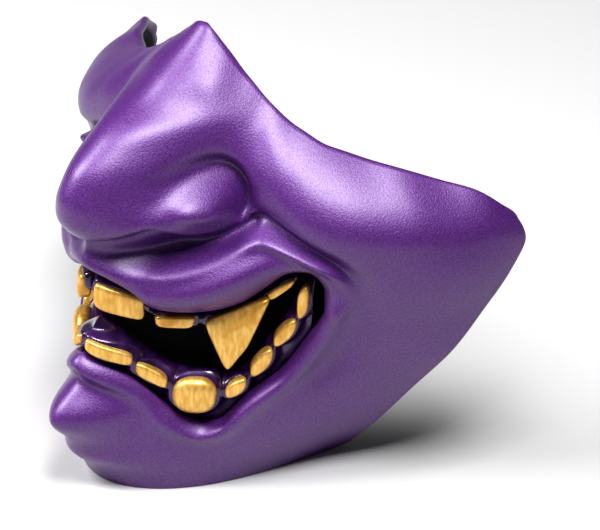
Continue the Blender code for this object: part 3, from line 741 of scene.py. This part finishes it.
def gum_ridge(name, table, rows, finish):
    """A bar along the mouth, raised round the teeth in front and rounded behind."""
    last = table[-1][0]
    angles = np.linspace(-last, last, GUM_ACROSS)
    low, high = columns(table, np.abs(angles))
    middle, half = (low + high) / 2, (high - low) / 2
    lifts = np.concatenate([
        np.linspace(-1.0, 1.0, GUM_FRONT),
        np.linspace(1.0, -1.0, GUM_BACK + 2)[1:-1],
    ])
    front = np.arange(len(lifts)) < GUM_FRONT
    front_inset = FRONT_CURVE * np.abs(lifts) ** FRONT_LATE
    back_inset = 1.0 - BACK_CURVE * np.abs(lifts) ** BACK_LATE
    insets = np.where(front, front_inset, back_inset)
    grid_angle = np.repeat(angles[:, None], len(lifts), axis=1)
    grid_height = middle[:, None] + lifts[None, :] * half[:, None]
    raised = np.where(front, frames_rise(rows, np.abs(grid_angle), grid_height), 0.0)
    face = beneath(grid_angle, grid_height, WALL + GUM_CLEARANCE - raised)
    grid = face + (insets * GUM_DEPTH)[..., None] * towards_axis(grid_angle)
    return loop_mesh(name, closed_ends(grid), False, True, finish)


GUM_DEEP = (0.020, 0.004, 0.042)
GUM_BRIGHT = (0.050, 0.013, 0.095)

gum_paint, shader, draw, places = new_finish("glossy gum paint", {
    "Metallic": 0.35,
    "Coat Weight": 0.7,
    "Coat Roughness": 0.08,
})
uneven = noise(draw, places, scale=300.0)
feed(shader, "Base Color", uneven.between(0.3, 0.7).colours(GUM_DEEP, GUM_BRIGHT))
feed(shader, "Roughness", 0.22 + 0.12 * uneven)
feed(shader, "Normal", bump(draw, uneven, strength=0.2))
for name, table, rows in (("upper_gum", UPPER_GUM, UPPER_TEETH), ("lower_gum", LOWER_GUM, LOWER_TEETH)):
    ridge = gum_ridge("painted_" + name, table, rows, gum_paint)
    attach(ridge, "root")
    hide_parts(name)

# The teeth: flat gold plates, a round tusk below and a long three-cornered fang above on each side, each set
# in its frame in the gum. The gold is brushed on in upright streaks, with browner patches.

# Points round the outline of a tooth, and from its back to its face
TOOTH_AROUND = 64
TOOTH_OUTWARD = 22
# How square the side view of a tusk and of a flat tooth is, and the gap in metres between gum and tooth
TUSK_SQUARE = 2.4
PLATE_SQUARE = 4.5
GAP = 0.0004


def tooth_plate(name, row, side, finish):
    """One tooth: a rounded plate that stands out of the gum, with the outline that its row describes."""
    middle_angle, middle_height, half_angle, half_height, square, taper, lean, depth = row
    domed = TUSK_SQUARE if depth == TUSK_DEPTH else PLATE_SQUARE
    turn = np.linspace(0.0, 2 * np.pi, TOOTH_AROUND, endpoint=False)[:, None]
    tilt = np.linspace(-np.pi / 2, np.pi / 2, TOOTH_OUTWARD)[None, :]
    spread = np.cos(tilt) ** (2.0 / domed)
    outward = np.sign(tilt) * np.abs(np.sin(tilt)) ** (2.0 / domed)
    to_outline = (np.abs(np.cos(turn)) ** square + np.abs(np.sin(turn)) ** square) ** (-1.0 / square)
    u = spread * to_outline * np.cos(turn)
    v = spread * to_outline * np.sin(turn)
    angle = middle_angle + half_angle * u * (1.0 - taper * (1.0 - v) / 2)
    height = middle_height + half_height * v + lean * u
    back = WALL + GUM_CLEARANCE - GAP
    grid = beneath(side * angle, height, back - (outward + 1.0) / 2 * depth)
    if side < 0.0:
        grid = grid[::-1]
    return loop_mesh(name, grid, True, False, finish)


DULL_GOLD = (0.60, 0.33, 0.06)
PALE_GOLD = (0.80, 0.50, 0.15)
BROWN_GOLD = (0.52, 0.25, 0.03)

gold, shader, draw, places = new_finish("brushed gold paint", {
    "Metallic": 0.6,
    "Coat Weight": 0.1,
    "Coat Roughness": 0.2,
})
squeeze = {"Vector": places, "Scale": (1.0, 1.0, 0.22)}
squeezed = draw.out(draw.node("ShaderNodeMapping", None, squeeze))
streaks = noise(draw, squeezed, scale=1100.0, detail=3.0)
patches = noise(draw, places, scale=160.0)
tone = streaks.between(0.3, 0.7).colours(DULL_GOLD, PALE_GOLD)
tone = patches.between(0.5, 0.8).colours(tone, BROWN_GOLD)
feed(shader, "Base Color", tone)
feed(shader, "Roughness", 0.30 + 0.15 * streaks)
feed(shader, "Normal", bump(draw, streaks, strength=0.3))
for side_name, side in (("right", 1.0), ("left", -1.0)):
    for jaw, rows in (("upper", UPPER_TEETH), ("lower", LOWER_TEETH)):
        for tooth_name, row in rows.items():
            node = f"{jaw}_{tooth_name}_{side_name}"
            plate = tooth_plate("gold_" + node, row, side, gold)
            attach(plate, "root")
            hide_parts(node)

# The black behind the teeth: a thin sheet of black cloth, fixed inside the shell just behind the gums, so
# that the open mouth shows plain black from the front.

# Metres: how thick the cloth is, and the gap between gums and cloth
BACKING = 0.001
BACKING_GAP = 0.0010
BACKING_ACROSS = 120
BACKING_UP = 24
# Angle, height of the lower edge, height of the upper edge
MOUTH_BACKING = (
    (0.0, 0.235, 0.600), (11.0, 0.170, 0.540), (19.0, 0.105, 0.530), (27.0, 0.130, 0.545),
    (38.0, 0.200, 0.600), (46.0, 0.290, 0.620), (53.0, 0.335, 0.620), (64.0, 0.370, 0.600),
)
CLOTH_DEEP = (0.0025, 0.0025, 0.003)
CLOTH_PALE = (0.006, 0.006, 0.007)

last = MOUTH_BACKING[-1][0]
angles = np.linspace(-last, last, BACKING_ACROSS)
low, high = columns(MOUTH_BACKING, np.abs(angles))
share = np.concatenate([np.linspace(0.0, 1.0, BACKING_UP), np.linspace(1.0, 0.0, BACKING_UP)])
behind = np.repeat([0.0, 1.0], BACKING_UP)
grid_angle = np.repeat(angles[:, None], len(share), axis=1)
grid_height = low[:, None] + share[None, :] * (high - low)[:, None]
face = beneath(grid_angle, grid_height, WALL + GUM_CLEARANCE)
grid = face + (GUM_DEPTH + BACKING_GAP + behind * BACKING)[None, :, None] * towards_axis(grid_angle)

cloth, shader, draw, places = new_finish("black cloth", {"Specular IOR Level": 0.15})
weave = noise(draw, places, scale=1500.0)
feed(shader, "Base Color", weave.between(0.3, 0.7).colours(CLOTH_DEEP, CLOTH_PALE))
feed(shader, "Roughness", 0.85 + 0.1 * weave)
backing = loop_mesh("black_backing", closed_ends(grid), False, True, cloth)
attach(backing, "root")
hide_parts("mouth_backing")

# The photographer's table: a pale floor, a soft lamp overhead, a soft panel at the front left and a dim
# plain room, with the camera a metre away at the photograph's angle.

# Metres: half the floor's side, and how far the floor lies under the mask
FLOOR_HALF = 4.0
FLOOR_DROP = 0.0002

corners = [(FLOOR_HALF * x, FLOOR_HALF * y, 0.0) for x, y in ((-1, -1), (1, -1), (1, 1), (-1, 1))]
floor_mesh = bpy.data.meshes.new("floor")
floor_mesh.from_pydata(corners, [], [(0, 1, 2, 3)])
pale = {"Base Color": (0.54, 0.54, 0.54, 1.0), "Roughness": 0.8}
floor_mesh.materials.append(new_finish("pale table", pale)[0])
floor = bpy.data.objects.new("floor", floor_mesh)
bpy.context.scene.collection.objects.link(floor)
floor.location.z = -FLOOR_DROP

room = bpy.data.worlds.new("room")
room.use_nodes = True
background = room.node_tree.nodes["Background"].inputs
background["Color"].default_value = (0.95, 0.96, 1.0, 1.0)
background["Strength"].default_value = 0.08
bpy.context.scene.world = room
bpy.context.scene.view_settings.view_transform = "Standard"
bpy.context.scene.view_settings.look = "Medium High Contrast"

# Square lamps that all face one point over the floor: name, place, side in metres, watts
LAMPS_AIM = Vector((0.0, 0.0, 0.06))
LAMPS = (
    ("overhead", (0.26, -0.10, 0.77), 0.30, 8.2),
    ("left panel", (-0.30, -0.43, 0.66), 0.32, 8.0),
)
for name, spot, side, watts in LAMPS:
    lamp = bpy.data.lights.new(name, "AREA")
    lamp.size = side
    lamp.energy = watts
    holder = bpy.data.objects.new(name, lamp)
    holder.location = spot
    holder.rotation_euler = (LAMPS_AIM - Vector(spot)).to_track_quat("-Z", "Y").to_euler()
    bpy.context.scene.collection.objects.link(holder)

# The camera: degrees round the mask from its front and up from the floor, metres to the point looked at, and
# millimetres of lens and sensor
AZIMUTH = radians(46.8)
ELEVATION = radians(32.1)
DISTANCE = 1.0
LOOK_AT = Vector((0.0, 0.0407, 0.0355))
LENS = 212.2
SENSOR = 36.0

camera = bpy.data.cameras.new("camera")
camera.sensor_fit = "HORIZONTAL"
camera.sensor_width = SENSOR
camera.lens = LENS
camera.clip_start = 0.05
camera_holder = bpy.data.objects.new("camera", camera)
back = Vector((sin(AZIMUTH) * cos(ELEVATION), -cos(AZIMUTH) * cos(ELEVATION), sin(ELEVATION)))
camera_holder.location = LOOK_AT + DISTANCE * back
camera_holder.rotation_euler = (radians(90.0) - ELEVATION, 0.0, AZIMUTH)
bpy.context.scene.collection.objects.link(camera_holder)
bpy.context.scene.camera = camera_holder
